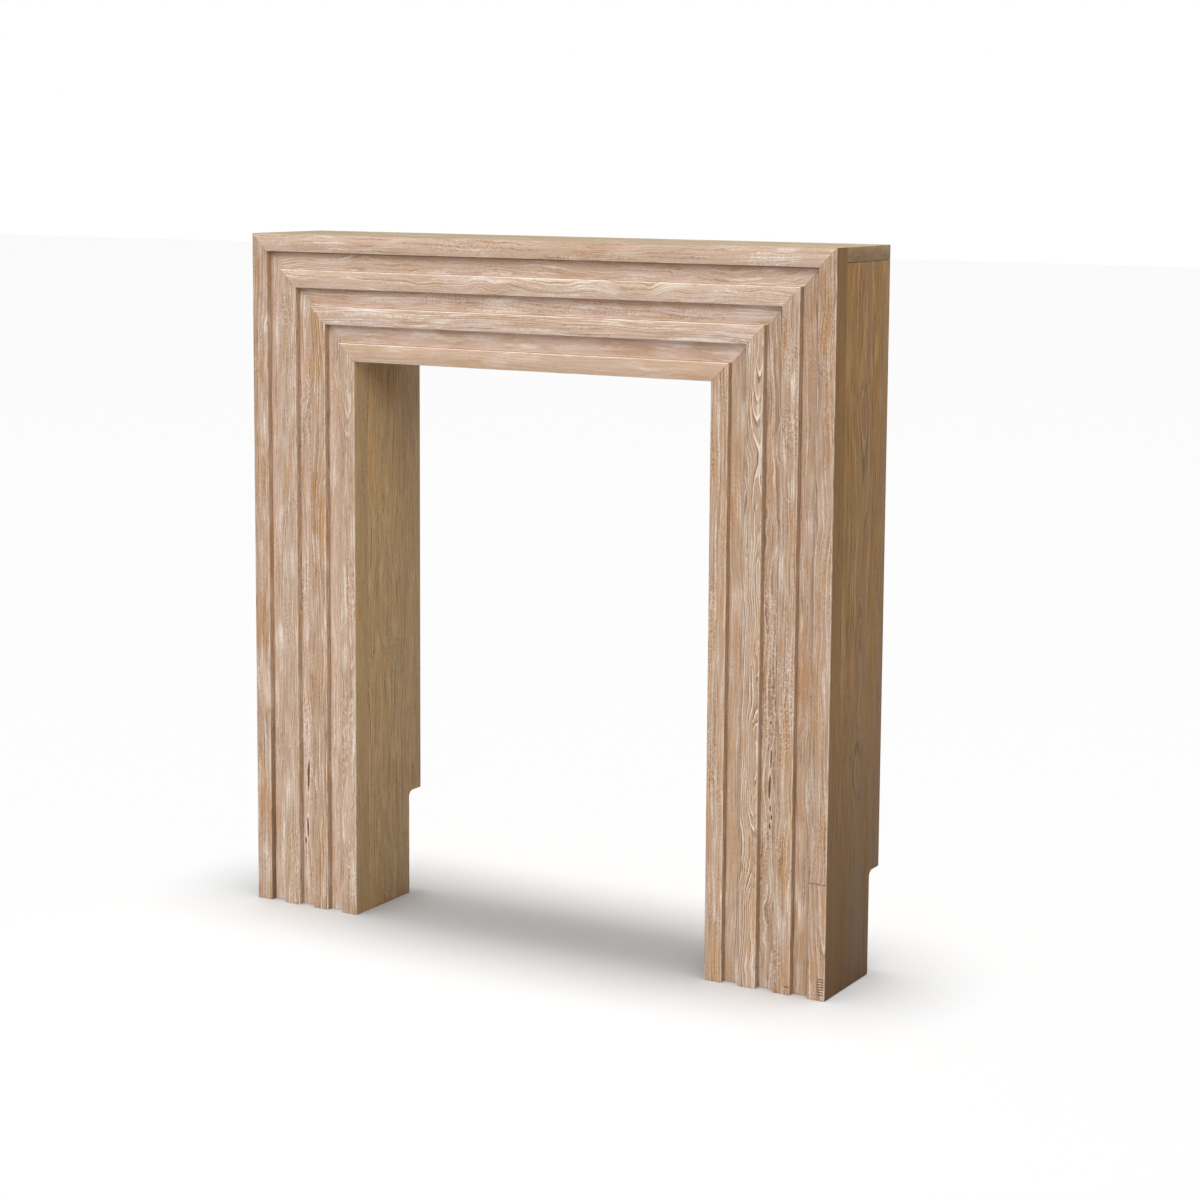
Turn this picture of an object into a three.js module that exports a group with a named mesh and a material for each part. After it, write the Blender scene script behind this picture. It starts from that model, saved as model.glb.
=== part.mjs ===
// Fireplace mantelpiece in limed teak: a stepped front of mitred strips on a shallow
// three-sided case, open at the back and under the legs, with the rear corner of each
// leg cut away to pass a skirting board. Millimetres, +Z up, front towards -Y.
// The origin is on the floor, at the middle of the width and of the depth.
import * as THREE from 'three';

// Driving dimensions
const overallWidth = 1220;
const overallHeight = 1295;
const overallDepth = 220;
const stripWidth = 33.5;          // each strip of the stepped front, proud or sunk
const stripsPerMember = 7;        // proud, sunk, proud ... from the outer edge inwards
const proudThickness = 43;        // front frame, measured through a proud strip
const stepDepth = 14;             // how far a sunk strip lies behind a proud one
const arris = 1.2;                // eased edges of the proud strips
const sideThickness = 26;         // outer sides of the legs
const revealThickness = 22;       // sides of the fire opening, and its soffit
const shelfThickness = 26;
const rearBoardWidth = 64;        // rear one of the two boards in a side and in the shelf
const skirtingCutDepth = 40;      // cut-out at the back of the legs
const sideCutHeight = 188;
const revealCutHeight = 204;
const cutFilletRadius = 12;
const filletSegments = 6;
const piecedFootHeight = 205;     // short length at the foot of the right leg's outer strip
const glueGap = 0.3;              // hairline between neighbouring pieces

// Signs of X on the two sides, and the side with the pieced strip
const leftSide = -1;
const rightSide = 1;
const piecedSide = rightSide;

// Positions worked out from the driving dimensions
const halfWidth = overallWidth / 2;
const frontY = -overallDepth / 2;
const backY = overallDepth / 2;
const frameBackY = frontY + proudThickness;
const panelFrontY = frameBackY + glueGap;
const boardJointY = backY - rearBoardWidth;
const faceWidth = stripWidth * stripsPerMember;
const openingHalfWidth = halfWidth - faceWidth;
const openingHeight = overallHeight - faceWidth;
const shelfUnderside = overallHeight - shelfThickness;

const woodTones = {
  proud: 0xc9a98c,
  sunk: 0xb8957a,
  panel: 0x8a7152,
  shelf: 0xa38d68,
};
const woodRoughness = 0.75;

function namedMesh(name, geometry, tone) {
  const material = new THREE.MeshStandardMaterial({
    color: woodTones[tone], roughness: woodRoughness, metalness: 0,
  });
  const mesh = new THREE.Mesh(geometry, material);
  mesh.name = name;
  return mesh;
}

// An outline drawn in X and Z becomes a slab that grows towards the front.
const slabTowardsFront = new THREE.Matrix4().makeBasis(
  new THREE.Vector3(1, 0, 0), new THREE.Vector3(0, 0, 1), new THREE.Vector3(0, -1, 0));
// An outline drawn in Y and Z becomes a slab that grows along X.
const slabAlongX = new THREE.Matrix4().makeBasis(
  new THREE.Vector3(0, 1, 0), new THREE.Vector3(0, 0, 1), new THREE.Vector3(1, 0, 0));

function outlineShape(points) {
  return new THREE.Shape(points.map(([across, up]) => new THREE.Vector2(across, up)));
}

// A strip of the front, from its outline as seen from the front.
function frontStrip(name, outline, isProud) {
  const ease = isProud ? arris : 0;
  const thickness = isProud ? proudThickness : proudThickness - stepDepth;
  const geometry = new THREE.ExtrudeGeometry(outlineShape(outline), {
    depth: thickness - 2 * ease,
    bevelEnabled: isProud,
    bevelThickness: ease,
    bevelSize: ease,
    bevelOffset: -ease,
    bevelSegments: 1,
  });
  geometry.applyMatrix4(slabTowardsFront);
  const mesh = namedMesh(name, geometry, isProud ? 'proud' : 'sunk');
  mesh.position.y = frameBackY - ease;
  return mesh;
}

// Strips count from the outer edge inwards: even ones are proud bands, odd ones sunk recesses.
function isProudStrip(index) {
  return index % 2 === 0;
}

function stripName(member, index) {
  return `${member}_${isProudStrip(index) ? 'band' : 'recess'}_${Math.floor(index / 2) + 1}`;
}

// The two edges of a strip, as distances in from the outer edge of the frame.
function stripEdges(index) {
  const outer = index * stripWidth + (index === 0 ? 0 : glueGap / 2);
  const inner = (index + 1) * stripWidth - (index === stripsPerMember - 1 ? 0 : glueGap / 2);
  return [outer, inner];
}

// Outline of a leg's strip, mitred at its top. side is -1 on the left and 1 on the right.
function legStripOutline(side, index, bottom) {
  const [outer, inner] = stripEdges(index);
  const across = (inset) => side * (halfWidth - inset);
  const mitreHeight = (inset) => overallHeight - inset - glueGap;
  return [
    [across(outer), bottom], [across(inner), bottom],
    [across(inner), mitreHeight(inner)], [across(outer), mitreHeight(outer)],
  ];
}

// Outline of a short length under a leg's strip, cut square.
function footLengthOutline(side, index, top) {
  const [outerX, innerX] = stripEdges(index).map((inset) => side * (halfWidth - inset));
  return [[outerX, 0], [innerX, 0], [innerX, top], [outerX, top]];
}

// The strips on the front of a leg. The right leg's outer one stands on a short foot length.
function legFront(member, side) {
  const strips = [];
  for (let index = 0; index < stripsPerMember; index += 1) {
    const name = stripName(member, index);
    const isPieced = side === piecedSide && index === 0;
    const bottom = isPieced ? piecedFootHeight + glueGap : 0;
    strips.push(frontStrip(name, legStripOutline(side, index, bottom), isProudStrip(index)));
    if (isPieced) {
      const foot = footLengthOutline(side, index, piecedFootHeight);
      strips.push(frontStrip(`${name}_foot`, foot, isProudStrip(index)));
    }
  }
  return strips;
}

// A strip of the lintel, mitred at both ends.
function lintelStrip(member, index) {
  const [outer, inner] = stripEdges(index);
  const outline = [
    [-halfWidth + inner, overallHeight - inner], [halfWidth - inner, overallHeight - inner],
    [halfWidth - outer, overallHeight - outer], [-halfWidth + outer, overallHeight - outer],
  ];
  return frontStrip(stripName(member, index), outline, isProudStrip(index));
}

function sideRectangle(nearY, farY, topZ) {
  return outlineShape([[nearY, 0], [farY, 0], [farY, topZ], [nearY, topZ]]);
}

// A side outline with its rear bottom corner cut away and the cut's inner corner rounded.
function skirtingCutOutline(nearY, topZ, cutHeight) {
  const cutY = backY - skirtingCutDepth;
  const arcY = cutY + cutFilletRadius;
  const arcZ = cutHeight - cutFilletRadius;
  const shape = new THREE.Shape();
  shape.moveTo(nearY, 0);
  shape.lineTo(cutY, 0);
  shape.absarc(arcY, arcZ, cutFilletRadius, Math.PI, Math.PI / 2, true);
  shape.lineTo(backY, cutHeight);
  shape.lineTo(backY, topZ);
  shape.lineTo(nearY, topZ);
  return shape;
}

// An upright board between two places along X.
function uprightBoard(name, outline, faceX, otherFaceX) {
  const geometry = new THREE.ExtrudeGeometry(outline, {
    depth: Math.abs(otherFaceX - faceX), bevelEnabled: false, curveSegments: filletSegments,
  });
  geometry.applyMatrix4(slabAlongX);
  const mesh = namedMesh(name, geometry, 'panel');
  mesh.position.x = Math.min(faceX, otherFaceX);
  return mesh;
}

// A level board that lies across the width.
function levelBoard(name, length, [nearY, farY], bottomZ, thickness, tone) {
  const mesh = namedMesh(name, new THREE.BoxGeometry(length, farY - nearY, thickness), tone);
  mesh.position.set(0, (nearY + farY) / 2, bottomZ + thickness / 2);
  return mesh;
}

const frontBoardSpan = [panelFrontY, boardJointY - glueGap / 2];
const rearBoardSpan = [boardJointY + glueGap / 2, backY];

function outerSide(hand, side) {
  const [faceX, innerX] = [side * halfWidth, side * (halfWidth - sideThickness)];
  const topZ = shelfUnderside - glueGap;
  const front = sideRectangle(...frontBoardSpan, topZ);
  const rear = skirtingCutOutline(rearBoardSpan[0], topZ, sideCutHeight);
  return [
    uprightBoard(`${hand}_side_front_board`, front, faceX, innerX),
    uprightBoard(`${hand}_side_rear_board`, rear, faceX, innerX),
  ];
}

function reveal(hand, side) {
  const outline = skirtingCutOutline(panelFrontY, openingHeight + revealThickness, revealCutHeight);
  const [faceX, hiddenX] = [side * openingHalfWidth, side * (openingHalfWidth + revealThickness)];
  return uprightBoard(`${hand}_reveal`, outline, faceX, hiddenX);
}

const mantelpiece = new THREE.Group();
mantelpiece.name = 'mantelpiece';

for (const [hand, side] of [['left', leftSide], ['right', rightSide]]) {
  const leg = new THREE.Group();
  leg.add(...legFront(`${hand}_leg`, side), ...outerSide(hand, side), reveal(hand, side));
  mantelpiece.add(leg);
}

const lintel = new THREE.Group();
for (let index = 0; index < stripsPerMember; index += 1) {
  lintel.add(lintelStrip('lintel', index));
}
const soffitLength = 2 * (openingHalfWidth - glueGap);
lintel.add(
  levelBoard('shelf_front_board', overallWidth, frontBoardSpan, shelfUnderside, shelfThickness, 'shelf'),
  levelBoard('shelf_rear_board', overallWidth, rearBoardSpan, shelfUnderside, shelfThickness, 'shelf'),
  levelBoard('soffit', soffitLength, [panelFrontY, backY], openingHeight, revealThickness, 'panel'),
);
mantelpiece.add(lintel);

export default mantelpiece;
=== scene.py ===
import math
import random

import bpy
from mathutils import Matrix, Vector


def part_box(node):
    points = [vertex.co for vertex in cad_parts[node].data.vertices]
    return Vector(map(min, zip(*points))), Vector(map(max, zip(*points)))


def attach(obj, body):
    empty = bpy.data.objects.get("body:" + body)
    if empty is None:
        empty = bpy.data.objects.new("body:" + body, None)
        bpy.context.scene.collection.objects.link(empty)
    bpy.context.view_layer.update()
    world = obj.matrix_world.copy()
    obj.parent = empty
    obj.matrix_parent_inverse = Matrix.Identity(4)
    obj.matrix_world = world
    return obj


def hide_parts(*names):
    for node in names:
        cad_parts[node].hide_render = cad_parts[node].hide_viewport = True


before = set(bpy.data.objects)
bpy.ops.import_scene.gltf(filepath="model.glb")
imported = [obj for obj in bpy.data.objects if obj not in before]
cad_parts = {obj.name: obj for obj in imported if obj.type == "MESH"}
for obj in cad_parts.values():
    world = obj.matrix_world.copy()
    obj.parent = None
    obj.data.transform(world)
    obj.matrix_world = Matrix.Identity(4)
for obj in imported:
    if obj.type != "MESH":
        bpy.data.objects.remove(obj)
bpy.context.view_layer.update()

print("frame loaded,", len(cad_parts), "nodes")


def tone(red, green, blue):  # a colour as it looks on a screen, 0 to 255
    return tuple((channel / 255) ** 2.2 for channel in (red, green, blue)) + (1.0,)


# Camera at the photograph's place
view = {
    "place": (2.4319, -4.0349, 1.4463),
    "turn": 30.10,  # degrees to the left of straight on
    "dip": 6.845,
    "roll": 0.365,
    "lens": 77.5,
    "sensor": 36.0,
    "shiftUp": -0.1125,
}
bpy.ops.object.select_all(action="DESELECT")
bpy.ops.object.camera_add()
camera = bpy.context.object
camera.name = "photo_camera"
camera.data.sensor_width = view["sensor"]
camera.data.lens = view["lens"]
camera.data.shift_y = view["shiftUp"]
camera.matrix_world = (
    Matrix.Translation(view["place"])
    @ Matrix.Rotation(math.radians(view["turn"]), 4, "Z")
    @ Matrix.Rotation(math.radians(90 - view["dip"]), 4, "X")
    @ Matrix.Rotation(math.radians(view["roll"]), 4, "Z")
)
bpy.context.scene.camera = camera
print("camera placed")


# Shader maths
class Wire:
    def __init__(self, tree, socket=None):
        self.tree = tree
        self.socket = socket

    def make(self, kind, settings=None, sockets=None, out=0):  # any node: its settings come first
        node = self.tree.nodes.new(kind)
        for key, value in (settings or {}).items():
            setattr(node, key, value)
        for key, value in (sockets or {}).items():
            if isinstance(value, Wire):
                self.tree.links.new(value.socket, node.inputs[key])
            else:
                node.inputs[key].default_value = value
        return Wire(self.tree, node.outputs[out])

    def maths(self, operation, *values):
        return self.make("ShaderNodeMath", {"operation": operation}, dict(enumerate(values)))

    def split(self):  # the three parts of a vector
        first = self.make("ShaderNodeSeparateXYZ", None, {0: self})
        return [Wire(self.tree, output) for output in first.socket.node.outputs]

    def __add__(self, other):
        return self.maths("ADD", self, other)

    def __radd__(self, other):
        return self.maths("ADD", other, self)

    def __sub__(self, other):
        return self.maths("SUBTRACT", self, other)

    def __rsub__(self, other):
        return self.maths("SUBTRACT", other, self)

    def __mul__(self, other):
        return self.maths("MULTIPLY", self, other)

    def __rmul__(self, other):
        return self.maths("MULTIPLY", other, self)

    def __truediv__(self, other):
        return self.maths("DIVIDE", self, other)

    def __pow__(self, other):
        return self.maths("POWER", self, other)

    def __abs__(self):
        return self.maths("ABSOLUTE", self)


def ease(value, low, high):  # 0 at low, 1 at high, smooth between
    settings = {"interpolation_type": "SMOOTHSTEP"}
    return value.make("ShaderNodeMapRange", settings, {0: value, 1: low, 2: high})


def fade(value, low, high):  # 1 at low, 0 at high
    return 1 - ease(value, low, high)


def span(value, start, full, fading, end):  # rises, holds and falls again
    return ease(value, start, full) * fade(value, fading, end)


def blend(first, second, amount):  # a Mix node's colours are its sockets 6 and 7, and its output 2
    settings = {"data_type": "RGBA", "clamp_factor": True}
    return amount.make("ShaderNodeMix", settings, {0: amount, 6: first, 7: second}, 2)


# Which way each kind of board lies: across its face, into it, along its grain
boardLays = {
    "leg": ("X", "Y", "Z"),
    "lintel": ("Z", "Y", "X"),
    "side": ("Y", "X", "Z"),
    "shelf": ("Y", "Z", "X"),
}
axisIndex = {"X": 0, "Y": 1, "Z": 2}

# The teak's finishes: colours as they look in even light, save that the side and reveal finishes are darker
# partly as painted shade
limedTeak = {
    "tan": tone(202, 172, 147),
    "honey": tone(200, 157, 118),
    "pink": tone(213, 184, 168),
    "brown": tone(152, 113, 84),
    "lime": tone(240, 226, 213),
}
legTeak = {
    "tan": tone(186, 154, 126),
    "honey": tone(187, 141, 97),
    "pink": tone(195, 165, 146),
    "brown": tone(128, 92, 65),
    "lime": tone(232, 216, 200),
}
shadedSideTeak = {  # little lime, on the outer sides; darker than the front partly as painted shade
    "tan": tone(147, 110, 67),
    "honey": tone(150, 108, 60),
    "pink": tone(140, 108, 71),
    "brown": tone(96, 67, 38),
    "lime": tone(172, 139, 98),
}
shadedRevealTeak = {  # round the opening; darker than the front partly as painted shade
    "tan": tone(183, 151, 108),
    "honey": tone(184, 144, 95),
    "pink": tone(176, 147, 109),
    "brown": tone(136, 102, 67),
    "lime": tone(204, 177, 139),
}
shelfTeak = {
    "tan": tone(153, 135, 110),
    "honey": tone(152, 130, 101),
    "pink": tone(151, 134, 114),
    "brown": tone(118, 99, 76),
    "lime": tone(173, 158, 137),
}
teakSurface = {
    "roughness": (0.58, 0.8),  # bare wood, limed wood
    "roughLime": (0.0, 0.8),
    "specular": 0.28,
    "grainDepth": 0.0006,
    "bumpStrength": 0.5,
    "bumpFine": 0.7,
    "bumpDashes": 0.3,
}

# What differs from board to board
plainBoard = {
    "pith": (0.15, 0.05),  # from the middle of the face: across it, and behind it
    "heave": 0.01,  # how far the pith rises and falls along the board
    "wander": 0.009,
    "ringSpacing": 0.007,
    "rings": 0.4,  # how strongly the growth rings show
    "mottle": 0.22,  # lime left in patches
    "lines": 0.7,  # lime left in the grain
    "brown": 0.5,
    "speckle": 0.4,
    "honey": 0.7,
    "pink": 0.5,
    "overhangShade": 1.0,  # painted shade under an overhang
}
plainSide = {  # sides, reveals, soffit and shelf
    "mottle": 0.3,
    "lines": 0.4,
    "brown": 0.7,
    "speckle": 0.5,
    "rings": 0.6,
    "ringSpacing": 0.006,
    "pink": 0.4,
}
boardLooks = {
    "lintel_band_1": {"lines": 0.5, "honey": 0.5, "rings": 0.2, "speckle": 0.6},
    "lintel_recess_1": {
        "pith": (0.024, 0.006), "heave": 0.03, "wander": 0.022, "ringSpacing": 0.0036, "rings": 0.7,
    },
    "lintel_band_2": {
        "pith": (-0.026, 0.006), "heave": 0.03, "wander": 0.02, "ringSpacing": 0.004, "rings": 0.6,
    },
    "lintel_recess_2": {"speckle": 0.7, "pink": 1.0, "brown": 0.4, "mottle": 0.4, "overhangShade": 0.45},
    "lintel_band_3": {
        "pith": (0.04, 0.012), "ringSpacing": 0.004, "rings": 0.8, "lines": 1.0, "pink": 1.2, "honey": 0.4,
    },
    "lintel_recess_3": {
        "rings": 0.08, "speckle": 0.15, "pink": 1.4, "brown": 0.2, "lines": 0.4, "honey": 0.4,
        "mottle": 0.5, "overhangShade": 0.2,
    },
    "lintel_band_4": {
        "rings": 0.1, "speckle": 0.15, "pink": 0.3, "brown": 0.2, "lines": 0.35, "honey": 0.4,
    },
    "left_leg_band_1": {"honey": 0.5, "mottle": 0.3},
    "left_leg_band_2": {
        "pith": (-0.03, 0.008), "heave": 0.03, "ringSpacing": 0.004, "rings": 0.6, "speckle": 0.9,
    },
    "left_leg_recess_2": {"pith": (0.03, 0.02), "wander": 0.014, "rings": 0.6, "speckle": 0.8},
    "left_leg_band_3": {
        "pith": (-0.03, 0.015), "heave": 0.04, "rings": 0.6, "honey": 0.9, "pink": 0.3, "mottle": 0.2,
    },
    "left_leg_recess_3": {"mottle": 0.3, "pink": 0.8},
    "left_leg_band_4": {
        "pith": (0.004, 0.012), "heave": 0.05, "ringSpacing": 0.004, "rings": 0.8, "speckle": 0.8,
    },
    "right_leg_band_1": {
        "pith": (0.02, 0.012), "heave": 0.03, "rings": 0.45, "lines": 0.4, "mottle": 0.15,
    },
    "right_leg_band_1_foot": {
        "pith": (-0.012, 0.012), "heave": 0.06, "ringSpacing": 0.006, "rings": 0.45, "lines": 0.3,
        "honey": 1.0,
    },
    "right_leg_band_2": {"honey": 0.8, "speckle": 1.0, "brown": 0.6},
    "right_leg_recess_2": {
        "pith": (0.04, 0.03), "wander": 0.018, "rings": 0.7, "speckle": 0.9, "honey": 0.8,
    },
    "right_leg_band_3": {
        "pith": (-0.013, 0.012), "heave": 0.05, "wander": 0.022, "ringSpacing": 0.004, "rings": 1.3,
        "mottle": 0.1, "honey": 0.8, "pink": 0.2,
    },
    "right_leg_recess_3": {"honey": 0.9, "pink": 0.3},
    "right_leg_band_4": {"honey": 1.0, "pink": 0.1, "speckle": 0.9, "mottle": 0.1},
    "right_side_front_board": {"pith": (0.022, 0.02), "heave": 0.05, "wander": 0.014, "rings": 0.9},
    "left_reveal": {"pith": (-0.03, 0.03), "heave": 0.04, "wander": 0.012, "rings": 0.6},
}

# Noise that draws the figure: scale across and along the grain, detail, and a step that sets it apart
figure = {
    "sway": (6, 3, 2.0, 2),
    "ripple": (30, 10, 2.0, 7),
    "swirl": (16, 14, 2.0, 9),
    "swirlPlaces": (8, 4, 2.0, 41),
    "dashes": (330, 150, 1.0, 59),
    "brokenRings": (150, 10, 2.0, 31),
    "fine": (760, 24, 2.0, 5),
    "fleck": (340, 220, 1.0, 11),
    "bloom": (24, 7, 3.0, 29),
    "broad": (95, 3.4, 3.0, 13),
    "patches": (42, 9, 3.0, 19),
    "limeLines": (400, 9, 1.0, 37),
    "brownLines": (370, 8, 1.0, 43),
    "smears": (90, 16, 4.0, 53),
    "pores": (480, 55, 1.0, 47),
    "honey": (38, 7, 2.0, 17),
    "pink": (34, 8, 3.0, 23),
}
# Where a mask starts in its noise, and where it is full
onset = {
    "swirlPlaces": (0.5, 0.64),
    "dashes": (0.4, 0.56),
    "brokenRings": (0.38, 0.54),
    "darkFleck": (0.34, 0.44),
    "paleFleck": (0.56, 0.66),
    "bloom": (0.48, 0.62),
    "broad": (0.32, 0.54),
    "patches": (0.5, 0.68),
    "limeLines": (0.54, 0.62),
    "brownLines": (0.36, 0.44),
    "smears": (0.55, 0.61),
    "pores": (0.27, 0.34),
    "honey": (0.45, 0.63),
    "pink": (0.42, 0.62),
}
bend = {"sway": 3.0, "ripple": 0.9, "swirl": 1.6}  # parts of a board's wander
ringShape = {
    "riseScale": 3.4,
    "unevenScale": 90,
    "uneven": 1.1,
    "early": (0.0, 0.04, 0.18, 0.26),  # pale wood: starts, full, fading, gone, as shares of a ring
    "late": (0.2, 0.27, 0.36, 0.6),  # brown wood
    "faintest": 0.3,
    "unbroken": 0.55,
}
share = {  # how much each mark adds
    "broad": 0.12,
    "fleck": 0.5,
    "pores": 0.5,
    "smears": 0.5,
    "unbrokenLines": 0.5,
    "linesInPatches": 0.7,
    "linesAnywhere": 0.5,
    "speckleAnywhere": 0.15,
    "boardTint": 0.2,
    "boardTone": 0.05,
}
squarely = (0.6, 0.95)  # how far a face's normal leans to the side it counts for
logReach = (2, 60)  # boards are cut this far apart in the noise


class Grain:  # where the wood's pattern lies on one board, and the masks that colour it
    def __init__(self, node, lay, look, wire):
        self.wire = wire
        draw = random.Random(node)  # each board is cut from another place in the log
        self.shift = [draw.uniform(*logReach) for axis in "XYZ"]
        self.vary = [draw.uniform(-1, 1) for step in range(4)]
        low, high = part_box(node)
        middle = (Vector(low) + Vector(high)) / 2
        acrossAxis, depthAxis, alongAxis = (axisIndex[letter] for letter in boardLays[lay])
        self.place = wire.make("ShaderNodeTexCoord", out="Object").split()
        self.facing = wire.make("ShaderNodeNewGeometry", out="Normal").split()
        self.sideways = ease(abs(self.facing[0]), *squarely)
        self.across = self.place[acrossAxis] - middle[acrossAxis]
        self.depth = self.place[depthAxis] - low[depthAxis]
        self.along = self.place[alongAxis] - middle[alongAxis]
        self.half = (high[acrossAxis] - low[acrossAxis]) / 2
        self.edge = self.half - abs(self.across)
        self.flow = self.across
        sway = self.noise("sway") - 0.5
        ripple = self.noise("ripple") - 0.5
        swirl = (self.noise("swirl") - 0.5) * self.mask("swirlPlaces")
        bends = sway * bend["sway"] + ripple * bend["ripple"] + swirl * bend["swirl"]
        self.flow = self.across + bends * look["wander"]
        self.dashes = self.mask("dashes")  # breaks lines into short strokes
        self.makeRings(look)
        self.makeStreaks(look)

    def noise(self, name):  # drawn out along the grain
        acrossScale, alongScale, detail, step = figure[name]
        where = self.wire.make("ShaderNodeCombineXYZ", None, {
            0: self.flow * acrossScale + (self.shift[0] + step),
            1: self.depth * acrossScale + self.shift[1],
            2: self.along * alongScale + self.shift[2],
        })
        return self.wire.make("ShaderNodeTexNoise", None, {"Vector": where, "Scale": 1.0, "Detail": detail})

    def mask(self, name):
        return ease(self.noise(name), *onset[name])

    def lineNoise(self, along, detail):  # noise that changes along one measure alone
        settings = {"noise_dimensions": "1D"}
        return self.wire.make("ShaderNodeTexNoise", settings, {"W": along, "Scale": 1.0, "Detail": detail})

    def makeRings(self, look):  # growth rings of uneven width round a leaning pith
        pithAcross, pithBehind = look["pith"]
        ringAcross = self.flow - pithAcross * math.copysign(1, self.vary[3])
        rise = self.lineNoise(self.along * ringShape["riseScale"] + self.shift[1], 1.0) - 0.5
        ringBehind = self.depth + rise * look["heave"] + pithBehind
        radius = (ringAcross * ringAcross + ringBehind * ringBehind) ** 0.5
        uneven = self.lineNoise(radius * ringShape["unevenScale"] + self.shift[0], 2.0)
        count = radius / look["ringSpacing"] + uneven * ringShape["uneven"]
        ring = count.maths("FRACT", count)
        number = count.maths("FLOOR", count)
        settings = {"noise_dimensions": "1D"}
        ringTone = self.wire.make("ShaderNodeTexWhiteNoise", settings, {"W": number + self.shift[0]})
        unbroken = ringShape["unbroken"]
        strength = self.mask("brokenRings") * (unbroken + (1 - unbroken) * self.dashes) * look["rings"]
        strength = (ringShape["faintest"] + ringTone) * strength
        self.early = span(ring, *ringShape["early"]) * strength
        self.late = span(ring, *ringShape["late"]) * strength

    def makeStreaks(self, look):  # streaks, flecks and clouds of colour
        self.fine = self.noise("fine")
        fleck = self.noise("fleck")
        darkFleck = fade(fleck, *onset["darkFleck"])
        paleFleck = ease(fleck, *onset["paleFleck"])
        anywhere = share["speckleAnywhere"]
        speckled = (anywhere + (1 - anywhere) * self.mask("bloom")) * (look["speckle"] * share["fleck"])
        broad = 1 - self.mask("broad")
        pores = 1 - self.mask("pores")
        patches = self.mask("patches")
        unbroken = share["unbrokenLines"]
        limeLines = self.mask("limeLines") * (unbroken + (1 - unbroken) * self.dashes)
        limeLines = limeLines * (patches * share["linesInPatches"] + share["linesAnywhere"])
        brownLines = (1 - self.mask("brownLines")) * (1 - unbroken * self.dashes)
        mottle = patches + self.mask("smears") * share["smears"]
        boardTone = self.vary[2] * share["boardTone"]
        self.honey = self.mask("honey") * (look["honey"] + self.vary[0] * share["boardTint"])
        self.pink = self.mask("pink") * (look["pink"] + self.vary[1] * share["boardTint"])
        self.brown = (
            broad * share["broad"] + brownLines * look["brown"] + self.late
            + darkFleck * speckled + pores * share["pores"] + boardTone
        )
        self.lime = (
            mottle * look["mottle"] + limeLines * look["lines"] + self.early
            + paleFleck * speckled - boardTone
        )

    def colour(self, finish, limeShare=1.0):
        mixed = blend(finish["tan"], finish["honey"], self.honey)
        mixed = blend(mixed, finish["pink"], self.pink)
        mixed = blend(mixed, finish["brown"], self.brown)
        return blend(mixed, finish["lime"], self.lime * limeShare)


# Faces of a board that are coloured otherwise than its front: less lime, and on flanks and sides darker
# partly as painted shade
umber = tone(78, 53, 36)
otherFaces = {
    "flankLime": 0.3,  # share of the lime that reaches a flank
    "backLime": 0.2,
    # painted shade on the leg strips' flanks, stronger on the right leg
    "grooves": {"left": 0.3, "right": 0.6},
    "outside": (0.600, 0.606),  # from the middle of the width
    "shelfEnd": 0.6,
    "lintelTop": (0.15, 0.5),
}
# Painted shade: sideways faces darker towards the floor
footShade = {"height": (0.0, 0.62), "shadeTone": tone(84, 58, 30), "outside": 0.6, "grooves": 0.2}


def paintFlanks(colour, node, lay, grain):
    if lay == "leg":
        hand, inward = ("right", -1.0) if node.startswith("right") else ("left", 1.0)
        # painted shade: the sideways flanks take the darker side finish
        flank = grain.colour(shadedSideTeak, otherFaces["flankLime"])
        colour = blend(colour, flank, grain.sideways * otherFaces["grooves"][hand])
        if "band_4" in node:
            returnFace = grain.colour(shadedRevealTeak, otherFaces["flankLime"])
            colour = blend(colour, returnFace, ease(grain.facing[0] * inward, *squarely))
    if lay in ("leg", "lintel"):
        bareBack = grain.colour(shadedRevealTeak, otherFaces["backLime"])
        colour = blend(colour, bareBack, ease(grain.facing[1], *squarely))
    if "leg_band_1" in node:
        outside = grain.sideways * ease(abs(grain.place[0]), *otherFaces["outside"])
        colour = blend(colour, grain.colour(shadedSideTeak, otherFaces["flankLime"]), outside)
    if lay == "shelf":
        colour = blend(colour, grain.colour(shadedSideTeak), grain.sideways * otherFaces["shelfEnd"])
    return colour


def paintFootShade(colour, node, grain):
    strength = footShade["outside" if "side" in node or "band_1" in node else "grooves"]
    # painted shade, darkest at the floor
    shadeNearFloor = fade(grain.place[2], *footShade["height"]) * grain.sideways
    return blend(colour, footShade["shadeTone"], shadeNearFloor * strength)


# Painted shade, a painted highlight and rubbed lime where the strips step in and out, in metres from the
# corner
steps = {
    # painted shade under the strip above
    "overhangShade": tone(176, 126, 88),
    "overhangShadeReach": (0.002, 0.016),
    "overhangShadeAmount": 0.3,
    "cornerReach": (0.001, 0.004),
    "cornerAmount": 0.5,
    # lime at the foot of each lintel recess, partly a painted highlight
    "ledgeReach": (0.001, 0.005),
    "ledgeGrain": (0.3, 0.6),
    "ledgeLimeAndHighlight": 0.6,
    # painted shade in the corners of the leg recesses
    "legCornerReach": (0.0, 0.004),
    "legCornerAmount": 0.25,
    "arrisReach": (0.0006, 0.0022),
    "arrisDepth": (0.002, 0.004),
    "arrisGrain": (0.35, 0.6),
    "arrisLime": 0.7,
}


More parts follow.
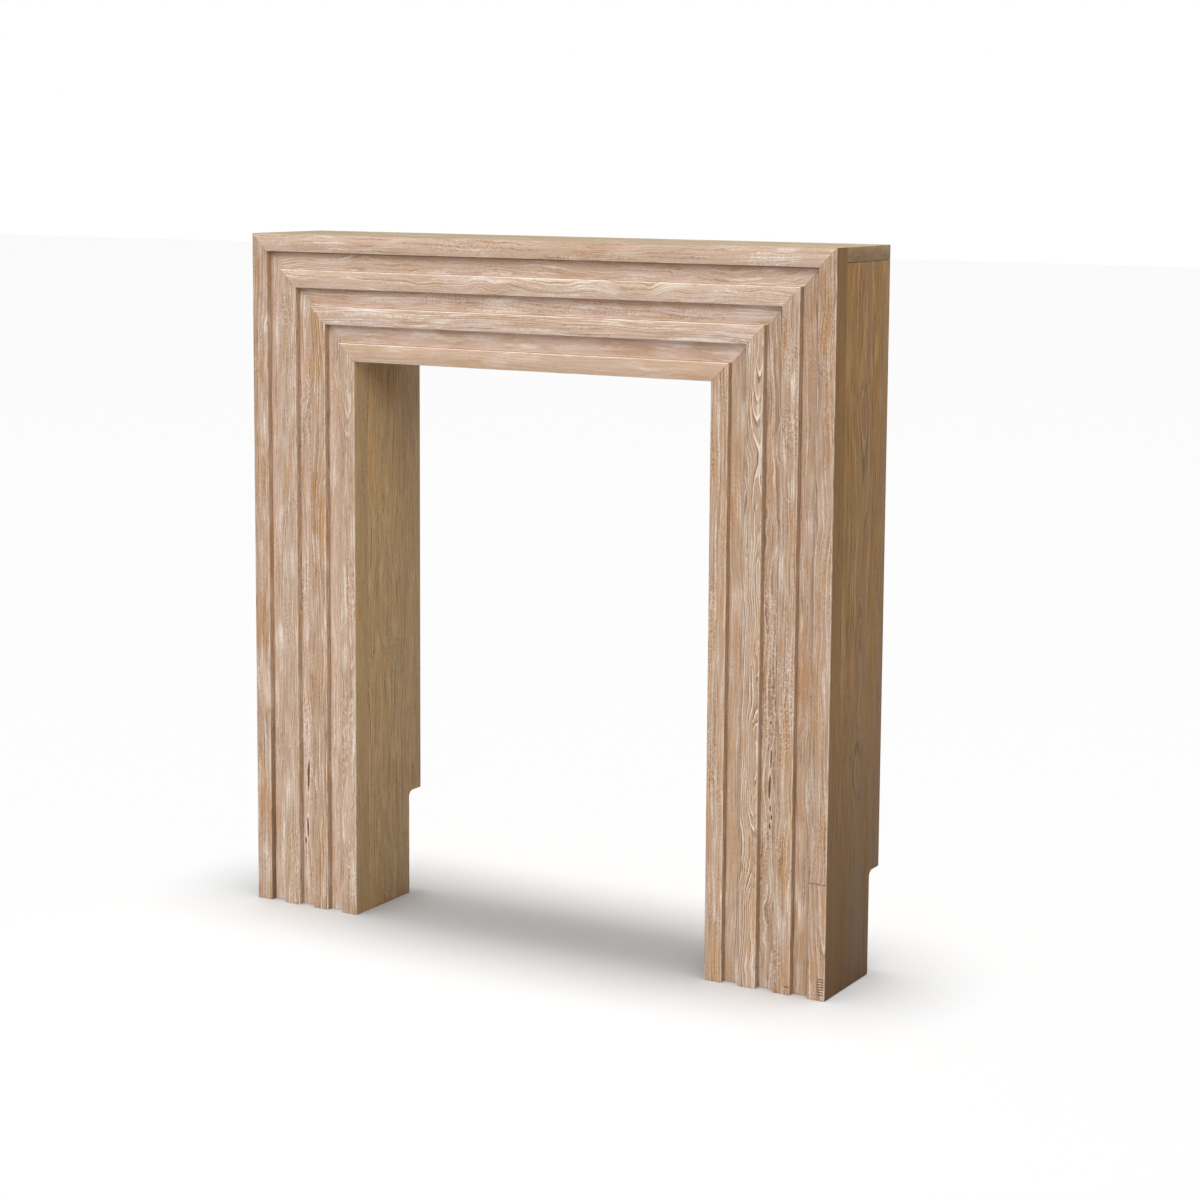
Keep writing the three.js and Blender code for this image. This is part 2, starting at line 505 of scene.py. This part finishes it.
def paintRecess(colour, lay, grain, look, finish):
    if lay == "leg":
        # painted shade in both corners of each leg recess
        corner = fade(grain.edge, *steps["legCornerReach"])
        return blend(colour, umber, corner * steps["legCornerAmount"])
    # painted shade under the strip above: a warm shade, and a dark line at the top corner
    below = grain.half - grain.across
    overhangShaded = fade(below, *steps["overhangShadeReach"]) * (steps["overhangShadeAmount"] * look["overhangShade"])
    colour = blend(colour, steps["overhangShade"], overhangShaded)
    corner = fade(below, *steps["cornerReach"]) * (steps["cornerAmount"] * look["overhangShade"])
    colour = blend(colour, umber, corner)
    # partly real lime, partly a painted highlight where the ledge below catches the light
    ledge = fade(grain.half + grain.across, *steps["ledgeReach"]) * ease(grain.fine, *steps["ledgeGrain"])
    return blend(colour, finish["lime"], ledge * steps["ledgeLimeAndHighlight"])


def paintArris(colour, grain, finish):
    rubbed = fade(grain.edge, *steps["arrisReach"]) * fade(grain.depth, *steps["arrisDepth"])
    rubbed = rubbed * ease(grain.fine, *steps["arrisGrain"])
    return blend(colour, finish["lime"], rubbed * steps["arrisLime"])


# The outer right strip is pieced near its foot
piecedJoint = {
    "nodes": ("right_leg_band_1", "right_leg_band_1_foot"),
    "height": 0.2052,
    "reach": (0.0006, 0.0024),
    "grain": (0.42, 0.56),
    "amount": 0.6,
}


def paintJoint(colour, grain):
    near = fade(abs(grain.place[2] - piecedJoint["height"]), *piecedJoint["reach"])
    near = near * ease(grain.fine, *piecedJoint["grain"]) * (1 - grain.sideways)
    return blend(colour, umber, near * piecedJoint["amount"])


# Drying cracks, each from its lower to its upper end
cracks = {
    "left_leg_recess_2": (
        {"x": -0.4965, "bottom": 0.219, "top": 0.288, "width": 0.0052, "lean": 1.2},
        {"x": -0.4990, "bottom": 0.130, "top": 0.174, "width": 0.0046, "lean": -1.5},
        {"x": -0.5040, "bottom": 0.117, "top": 0.133, "width": 0.0038, "lean": 3.0},
    ),
    "right_leg_recess_2": (
        {"x": 0.4945, "bottom": 0.392, "top": 0.428, "width": 0.0030, "lean": 2.0},
        {"x": 0.4925, "bottom": 0.336, "top": 0.384, "width": 0.0044, "lean": 2.0},
        {"x": 0.4942, "bottom": 0.316, "top": 0.328, "width": 0.0034, "lean": -3.0},
        {"x": 0.4965, "bottom": 0.301, "top": 0.311, "width": 0.0030, "lean": 0.0},
        {"x": 0.4938, "bottom": 0.283, "top": 0.297, "width": 0.0032, "lean": -3.0},
        {"x": 0.4930, "bottom": 0.470, "top": 0.477, "width": 0.0034, "lean": 0.0},
        {"x": 0.5060, "bottom": 0.440, "top": 0.446, "width": 0.0030, "lean": 0.0},
    ),
}
crack = {
    "depth": 0.0030,
    "lift": 0.0005,  # the cutter's middle stands off the face
    "ragged": 0.3,  # share of the width
    "raggedScale": 0.005,
    "sides": 12,
    "rings": 28,
    "brown": tone(122, 80, 56),
    "brownDepths": (0.0002, 0.001, 0.0045, 0.0055),
    "besideWidths": (0.4, 1.6),  # lime along the crack, in crack widths
    "past": 0.012,
    "within": 0.004,
    "grain": (0.42, 0.58),
    "lime": 0.7,
}


def paintCracks(colour, node, grain, finish):
    for spot in cracks[node]:
        fromMiddle = abs(grain.place[0] - spot["x"])
        beside = fade(fromMiddle, *(spot["width"] * widths for widths in crack["besideWidths"]))
        low, high = spot["bottom"], spot["top"]
        height = span(grain.place[2], low - crack["past"], low + crack["within"],
                      high - crack["within"], high + crack["past"])
        limed = beside * height * ease(grain.fine, *crack["grain"])
        colour = blend(colour, finish["lime"], limed * crack["lime"])
    return blend(colour, crack["brown"], span(grain.depth, *crack["brownDepths"]))


# Saw marks across the front at the right foot
sawMarks = {
    "right_leg_band_1_foot": {"from": 0.5945, "to": 0.6085, "bottom": 0.0100, "pitch": 0.0046, "count": 7},
    "right_leg_band_2": {"from": 0.5310, "to": 0.5430, "bottom": 0.0135, "pitch": 0.0046, "count": 1},
}
sawMark = {
    "height": 0.0012,
    "depth": 0.0010,
    "rounding": 0.4,  # share of the height
    "line": (0.0006, 0.0014),
    "endPast": 0.001,
    "endWithin": 0.002,
    "rowEnd": 0.2,
    "skin": (0.002, 0.003),
    "amount": 0.6,
}


def paintSawMarks(colour, node, grain):
    marks = sawMarks[node]
    row = (grain.place[2] - (marks["bottom"] - sawMark["height"])) / marks["pitch"]
    fromMiddle = abs(row.maths("FRACT", row) * marks["pitch"] - sawMark["height"])
    past, within, rowEnd = sawMark["endPast"], sawMark["endWithin"], sawMark["rowEnd"]
    reach = span(grain.place[0], marks["from"] - past, marks["from"] + within,
                 marks["to"] - within, marks["to"] + past)
    rows = span(row, -rowEnd, 0.0, marks["count"] - rowEnd, marks["count"])
    dark = fade(fromMiddle, *sawMark["line"]) * reach * rows * fade(grain.depth, *sawMark["skin"])
    return blend(colour, umber, dark * sawMark["amount"])


def teakMaterial(node, lay, finish):
    family = plainSide if lay in ("side", "shelf") else {}
    look = {**plainBoard, **family, **boardLooks.get(node, {})}
    material = bpy.data.materials.new(node + "_teak")
    material.use_nodes = True
    tree = material.node_tree
    shader = tree.nodes["Principled BSDF"]
    wire = Wire(tree)
    grain = Grain(node, lay, look, wire)
    colour = paintFlanks(grain.colour(finish), node, lay, grain)
    if "recess" in node:
        colour = paintRecess(colour, lay, grain, look, finish)
    elif "band" in node:
        colour = paintArris(colour, grain, finish)
    if node == "lintel_band_1":  # its top is part of the shelf
        colour = blend(colour, grain.colour(shelfTeak), ease(grain.facing[2], *otherFaces["lintelTop"]))
    if "side" in node or lay == "leg":
        colour = paintFootShade(colour, node, grain)
    if node in piecedJoint["nodes"]:
        colour = paintJoint(colour, grain)
    if node in cracks:
        colour = paintCracks(colour, node, grain, finish)
    if node in sawMarks:
        colour = paintSawMarks(colour, node, grain)

    smooth, rough = teakSurface["roughness"]
    roughness = ease(grain.lime, *teakSurface["roughLime"]) * (rough - smooth) + smooth
    bump = wire.make("ShaderNodeBump", None, {
        "Strength": teakSurface["bumpStrength"],
        "Distance": teakSurface["grainDepth"],
        "Height": grain.fine * teakSurface["bumpFine"] + grain.dashes * teakSurface["bumpDashes"],
    })
    tree.links.new(colour.socket, shader.inputs["Base Color"])
    tree.links.new(roughness.socket, shader.inputs["Roughness"])
    tree.links.new(bump.socket, shader.inputs["Normal"])
    shader.inputs["Specular IOR Level"].default_value = teakSurface["specular"]
    return material


# Modelling helpers
closeTo = 0.0001  # points this near lie on the same plane
smoothAngle = 32  # degrees


def startBlock(name, low, high):
    bpy.ops.object.select_all(action="DESELECT")
    low, high = Vector(low), Vector(high)
    bpy.ops.mesh.primitive_cube_add(size=1, location=(low + high) / 2, scale=high - low)
    piece = bpy.context.object
    piece.name = name
    piece.data.name = name
    bpy.ops.object.transform_apply(location=True, rotation=True, scale=True)
    return piece


def pickEdges(piece, wanted):
    bpy.ops.object.mode_set(mode="EDIT")
    bpy.ops.mesh.select_mode(type="EDGE")
    bpy.ops.mesh.select_all(action="DESELECT")
    bpy.ops.object.mode_set(mode="OBJECT")
    points = piece.data.vertices
    for edge in piece.data.edges:
        start, end = (points[index].co for index in edge.vertices)
        edge.select = wanted(start, end)
    bpy.ops.object.mode_set(mode="EDIT")


def selectAlone(piece):
    bpy.ops.object.select_all(action="DESELECT")
    piece.select_set(True)
    bpy.context.view_layer.objects.active = piece


def applyModifier(piece, kind, **settings):
    modifier = piece.modifiers.new(kind.lower(), kind)
    for key, value in settings.items():
        setattr(modifier, key, value)
    selectAlone(piece)
    bpy.ops.object.modifier_apply(modifier=modifier.name)


def cutAway(piece, cutter):
    applyModifier(piece, "BOOLEAN", operation="DIFFERENCE", object=cutter, solver="EXACT")
    bpy.data.objects.remove(cutter)


def finishPiece(piece, node, material):
    selectAlone(piece)
    bpy.ops.object.shade_smooth_by_angle(angle=math.radians(smoothAngle))
    piece.data.materials.clear()
    piece.data.materials.append(material)
    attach(piece, "root")
    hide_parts(node)


# Strips of the stepped front
strip = {
    "arris": 0.0016,
    "arrisSegments": 3,
    "longEdge": 0.15,  # longer edges run along the strip
    "cuts": 60,  # rings along the length that carry the wear
    "wear": 0.0004,
    "wearScale": 0.035,
    "wearDetail": 2,
    "wearMiddle": 0.62,
    "wornReach": 2,  # in arrises
}
wearTexture = bpy.data.textures.new("edge_wear", "CLOUDS")
wearTexture.noise_scale = strip["wearScale"]
wearTexture.noise_depth = strip["wearDetail"]


def mitre(point, normal):  # cuts off what lies on the normal's side
    bpy.ops.object.mode_set(mode="EDIT")
    bpy.ops.mesh.select_all(action="SELECT")
    bpy.ops.mesh.bisect(plane_co=point, plane_no=normal, use_fill=True, clear_outer=True)
    bpy.ops.object.mode_set(mode="OBJECT")


def makeStrip(node, lay):
    low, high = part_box(node)
    piece = startBlock(node + "_wood", low, high)
    if lay == "lintel":
        mitre((low[0], 0, high[2]), (-1, 0, -1))
        mitre((high[0], 0, high[2]), (1, 0, -1))
    elif not node.endswith("_foot"):
        inward = -math.copysign(1, low[0])
        outerX = low[0] if low[0] < 0 else high[0]
        mitre((outerX, 0, high[2]), (inward, 0, 1))
    runAxis = axisIndex[boardLays[lay][2]]
    frontY = low[1]

    def isLong(start, end):
        return abs(end[runAxis] - start[runAxis]) > strip["longEdge"]

    def isLongInFront(start, end):
        return isLong(start, end) and all(abs(point.y - frontY) < closeTo for point in (start, end))

    if "band" in node:
        pickEdges(piece, isLongInFront)
        bpy.ops.mesh.bevel(offset=strip["arris"], segments=strip["arrisSegments"], affect="EDGES")
        bpy.ops.object.mode_set(mode="OBJECT")
    pickEdges(piece, isLong)
    bpy.ops.mesh.subdivide(number_cuts=strip["cuts"])
    bpy.ops.object.mode_set(mode="OBJECT")
    if "band" in node:
        worn = piece.vertex_groups.new(name="worn")
        reach = frontY + strip["wornReach"] * strip["arris"]
        onArris = [point.index for point in piece.data.vertices if point.co.y < reach]
        worn.add(onArris, 1.0, "REPLACE")
        applyModifier(piece, "DISPLACE", texture=wearTexture, strength=strip["wear"],
                      mid_level=strip["wearMiddle"], vertex_group="worn")
    return piece


crackTexture = bpy.data.textures.new("crack_edge", "CLOUDS")
crackTexture.noise_scale = crack["raggedScale"]


def openCrack(piece, frontY, spot):
    bpy.ops.object.select_all(action="DESELECT")
    middle = (spot["x"], frontY - crack["lift"], (spot["top"] + spot["bottom"]) / 2)
    size = (spot["width"], 2 * crack["depth"], spot["top"] - spot["bottom"])
    bpy.ops.mesh.primitive_uv_sphere_add(
        segments=crack["sides"], ring_count=crack["rings"], radius=0.5, location=middle,
        rotation=(0, math.radians(spot["lean"]), 0), scale=size)
    cutter = bpy.context.object
    bpy.ops.object.transform_apply(location=True, rotation=True, scale=True)
    ragged = crack["ragged"] * spot["width"]
    applyModifier(cutter, "DISPLACE", texture=crackTexture, strength=ragged, mid_level=0.5)
    cutAway(piece, cutter)


def sawAcross(piece, frontY, marks):
    for row in range(marks["count"]):
        bottom = marks["bottom"] + row * marks["pitch"]
        cutter = startBlock("saw_cutter", (marks["from"], frontY - sawMark["depth"], bottom),
                            (marks["to"], frontY + sawMark["depth"], bottom + sawMark["height"]))
        bpy.ops.object.mode_set(mode="EDIT")
        bpy.ops.mesh.select_all(action="SELECT")
        bpy.ops.mesh.bevel(offset=sawMark["height"] * sawMark["rounding"], segments=1, affect="EDGES")
        bpy.ops.object.mode_set(mode="OBJECT")
        cutAway(piece, cutter)


for member in ("left_leg", "right_leg", "lintel"):
    lay = "lintel" if member == "lintel" else "leg"
    for node in sorted(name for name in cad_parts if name.startswith(member + "_")):
        isProud = "band" in node
        piece = makeStrip(node, lay)
        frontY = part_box(node)[0][1]
        for spot in cracks.get(node, ()):
            openCrack(piece, frontY, spot)
        if node in sawMarks:
            sawAcross(piece, frontY, sawMarks[node])
        finish = legTeak if member == "right_leg" or (isProud and lay == "leg") else limedTeak
        finishPiece(piece, node, teakMaterial(node, lay, finish))
print("front strips made")


# Sides, reveals, soffit and shelf
board = {"arris": 0.0012, "arrisSegments": 2, "cutFillet": 0.012, "cutSegments": 10, "overrun": 0.02}
skirtingCut = {"depth": 0.040, "side": 0.188, "reveal": 0.204}


def cutForSkirting(piece, low, high, cutHeight):
    over = board["overrun"]
    cutY = high[1] - skirtingCut["depth"]
    cutter = startBlock("skirting_cutter", (low[0] - over, cutY, -over),
                        (high[0] + over, high[1] + over, cutHeight))

    def isInCorner(start, end):
        ends = (start, end)
        return all(abs(point.y - cutY) < closeTo and abs(point.z - cutHeight) < closeTo for point in ends)

    pickEdges(cutter, isInCorner)
    bpy.ops.mesh.bevel(offset=board["cutFillet"], segments=board["cutSegments"], affect="EDGES")
    bpy.ops.object.mode_set(mode="OBJECT")
    cutAway(piece, cutter)


def makeBoard(node, lay, finish, cutHeight=None):
    low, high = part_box(node)
    piece = startBlock(node + "_wood", low, high)
    if cutHeight:
        cutForSkirting(piece, low, high, cutHeight)
    applyModifier(piece, "BEVEL", width=board["arris"], segments=board["arrisSegments"],
                  limit_method="ANGLE")
    finishPiece(piece, node, teakMaterial(node, lay, finish))


for hand in ("left", "right"):
    makeBoard(hand + "_side_front_board", "side", shadedSideTeak)
    makeBoard(hand + "_side_rear_board", "side", shadedSideTeak, skirtingCut["side"])
    makeBoard(hand + "_reveal", "side", shadedRevealTeak, skirtingCut["reveal"])
makeBoard("soffit", "shelf", shadedSideTeak)
for part in ("front", "rear"):
    makeBoard("shelf_" + part + "_board", "shelf", shelfTeak)
print("boards made")

# Floor and light
studio = {
    "floorSize": 60.0,
    "floorDrop": 0.0005,
    "floorColour": (0.86, 0.86, 0.86, 1.0),
    "floorBounce": (0.55, 0.55, 0.55, 1.0),  # the floor lights the wood less than its white would
    "floorRoughness": 0.9,
    "ambient": 0.12,
    "backdrop": 1.0,
    "sunHeight": 4.0,
    "suns": {  # strength; degrees: across, right of straight on, above the floor
        "key_light": (2.6, 50.0, 24.0, 42.0),
        "overhead_light": (3.3, 22.0, 0.0, 88.0),
        "back_light": (0.9, 20.0, 180.0, 20.0),
        "floor_light": (3.3, 22.0, 0.0, 90.0),
    },
}
bpy.ops.object.select_all(action="DESELECT")
bpy.ops.mesh.primitive_plane_add(size=studio["floorSize"], location=(0, 0, -studio["floorDrop"]))
floor = bpy.context.object
floor.name = "floor"
bpy.ops.object.transform_apply(location=True, rotation=True, scale=True)
floorMaterial = bpy.data.materials.new("floor_paint")
floorMaterial.use_nodes = True
floorShader = floorMaterial.node_tree.nodes["Principled BSDF"]
bounced = Wire(floorMaterial.node_tree).make("ShaderNodeLightPath", out="Is Diffuse Ray")
floorPaint = blend(studio["floorColour"], studio["floorBounce"], bounced)
floorMaterial.node_tree.links.new(floorPaint.socket, floorShader.inputs["Base Color"])
floorShader.inputs["Roughness"].default_value = studio["floorRoughness"]
floor.data.materials.append(floorMaterial)


def addSun(name, strength, angle, turn, height):
    bpy.ops.object.light_add(type="SUN", location=(0, 0, studio["sunHeight"]))
    sun = bpy.context.object
    sun.name = name
    sun.data.energy = strength
    sun.data.angle = math.radians(angle)
    sun.rotation_euler = (math.radians(90 - height), 0, math.radians(turn))
    return sun


for name, values in studio["suns"].items():  # the floor has a sun of its own, so no long shadows cross it
    sun = addSun(name, *values)
    lit = bpy.data.collections.new(name + "_reach")
    lit.objects.link(floor)
    lit.collection_objects[0].light_linking.link_state = "INCLUDE" if name == "floor_light" else "EXCLUDE"
    sun.light_linking.receiver_collection = lit

world = bpy.data.worlds.new("studio")
world.use_nodes = True
bpy.context.scene.world = world
worldWire = Wire(world.node_tree)
white = (1.0, 1.0, 1.0, 1.0)
fill = worldWire.make("ShaderNodeBackground", None, {"Color": white, "Strength": studio["ambient"]})
backdrop = worldWire.make("ShaderNodeBackground", None, {"Color": white, "Strength": studio["backdrop"]})
seen = worldWire.make("ShaderNodeLightPath", out="Is Camera Ray")
sky = worldWire.make("ShaderNodeMixShader", None, {0: seen, 1: fill, 2: backdrop})
world.node_tree.links.new(sky.socket, world.node_tree.nodes["World Output"].inputs["Surface"])
bpy.context.scene.view_settings.view_transform = "Standard"
print("studio lit")
